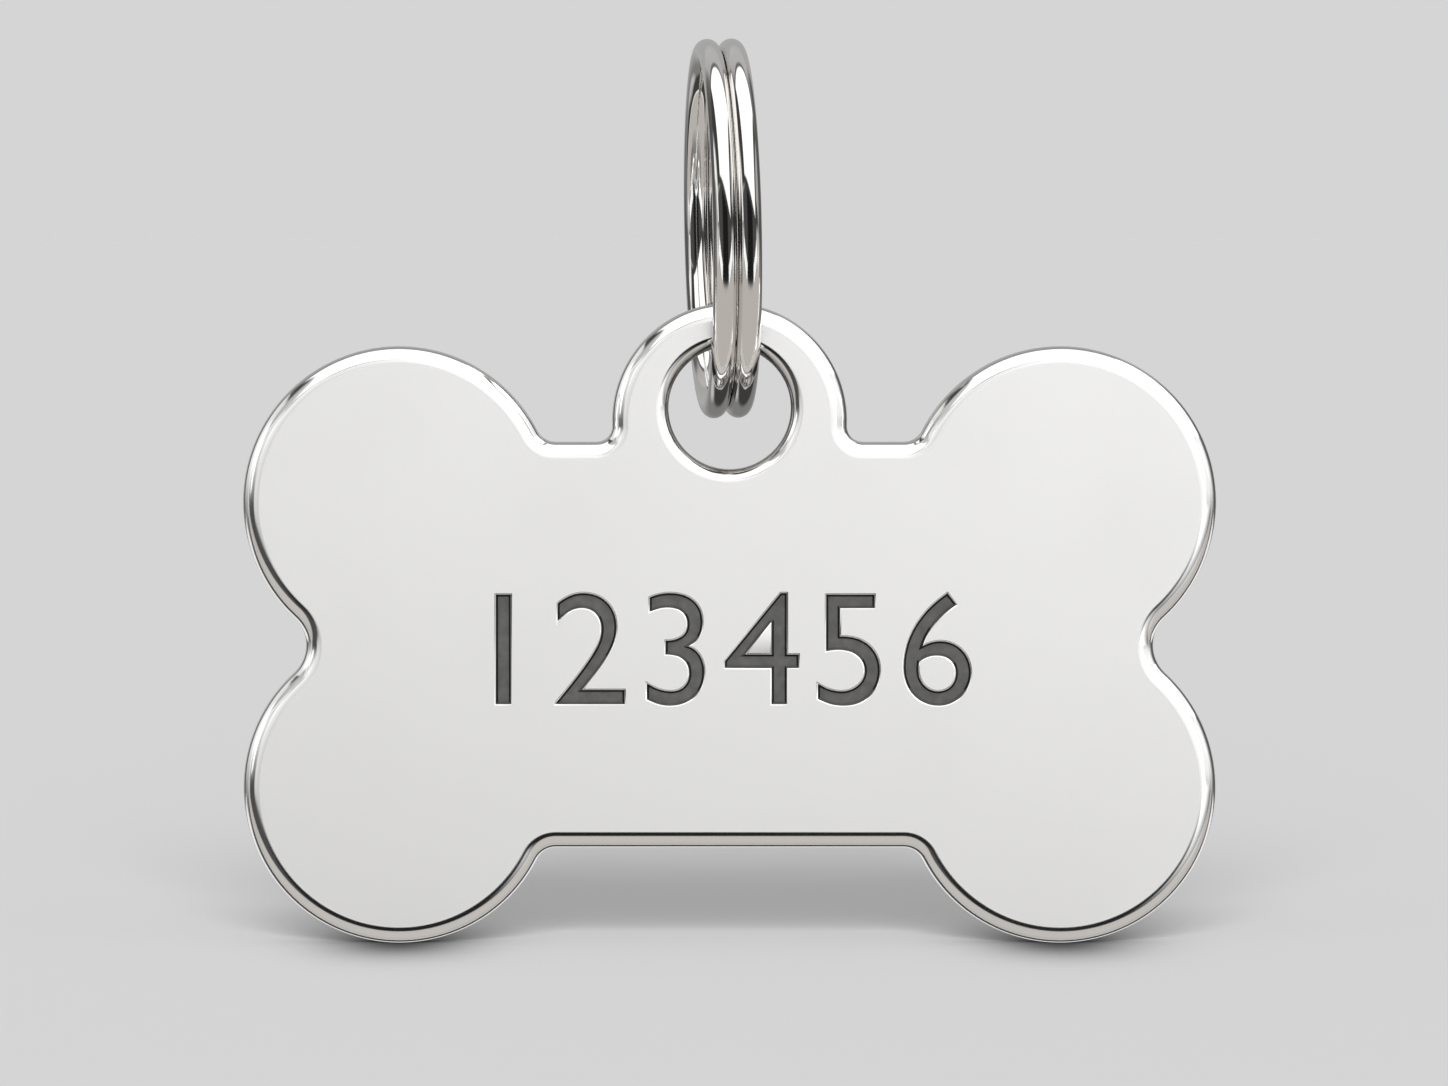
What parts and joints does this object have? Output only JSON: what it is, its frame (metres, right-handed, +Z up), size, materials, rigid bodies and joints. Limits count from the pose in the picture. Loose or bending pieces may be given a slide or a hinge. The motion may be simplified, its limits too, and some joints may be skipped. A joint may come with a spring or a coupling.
{
  "type": "pet id tag",
  "caption": "Bone-shaped flat metal pet tag with a round hanging tab, and a split ring that swings in the tab's hole and hangs the tag on a collar.",
  "frame": {"origin": "under the middle of the plate's length and of the ring's depth, level with the feet of the plate's two lower lobes", "axes": "+X along the bone, to the right seen from the front; -Y out of the front face; +Z up, from the feet to the hanging tab"},
  "size_m": [0.0382, 0.015, 0.0355],
  "materials": {
    "polished_plate": "polished stainless steel, smooth rounded edges",
    "bright_wire": "bright nickel-plated spring wire"
  },
  "bodies": {
    "tag": {"tag_plate": "polished_plate"},
    "ring": {"split_ring": "bright_wire"}
  },
  "joints": [
    {"name": "ring_swing", "type": "hinge", "parent": "tag", "child": "ring", "pos_m": [0, -0.00345, 0.02424], "axis": [0.9965, 0.0837, 0], "range_deg": [-37.5, 122.5]}
  ]
}
